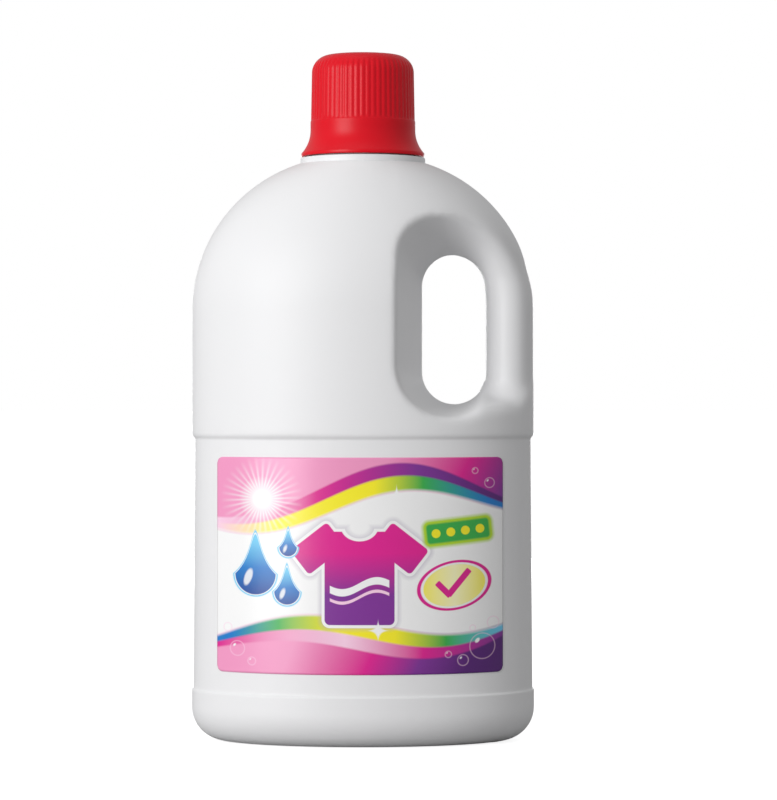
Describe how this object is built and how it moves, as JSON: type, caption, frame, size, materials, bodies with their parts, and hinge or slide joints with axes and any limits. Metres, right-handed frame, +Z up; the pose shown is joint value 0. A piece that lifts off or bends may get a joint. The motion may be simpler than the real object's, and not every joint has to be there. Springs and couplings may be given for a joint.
{
  "type": "bleach bottle",
  "caption": "Upright oval blow-moulded bottle with an arched shoulder, a pinched-through side handle, a wrap of printed film on the front and a ribbed, flared screw cap",
  "frame": {"origin": "on the floor, in the middle of the foot's outline, under the neck's axis", "axes": "+X towards the handle, -Y the labelled front, +Z up along the neck"},
  "size_m": [0.143, 0.0954, 0.2857],
  "materials": {
    "white_polyethylene": "satin blow-moulded",
    "red_polypropylene": "semi-gloss injection-moulded",
    "sealing_foam": "closed-cell foam",
    "printed_film": "glossy printed film"
  },
  "bodies": {
    "bottle": {"bottle": "white_polyethylene", "front_label": "printed_film"},
    "wad": {"cap_wad": "sealing_foam"},
    "cap": {"cap": "red_polypropylene"}
  },
  "joints": [
    {"name": "cap_lift", "type": "slide", "parent": "bottle", "child": "wad", "axis": [0, 0, 1], "range_m": [0, 0.0084]},
    {"name": "cap_turn", "type": "hinge", "parent": "wad", "child": "cap", "pos_m": [0, 0, 0.2802], "axis": [0, 0, 1], "range_deg": [0, 720]}
  ],
  "couplings": [
    {"joint": "cap_lift", "follows": "cap_turn", "m_per_rad": 0.00066845}
  ]
}
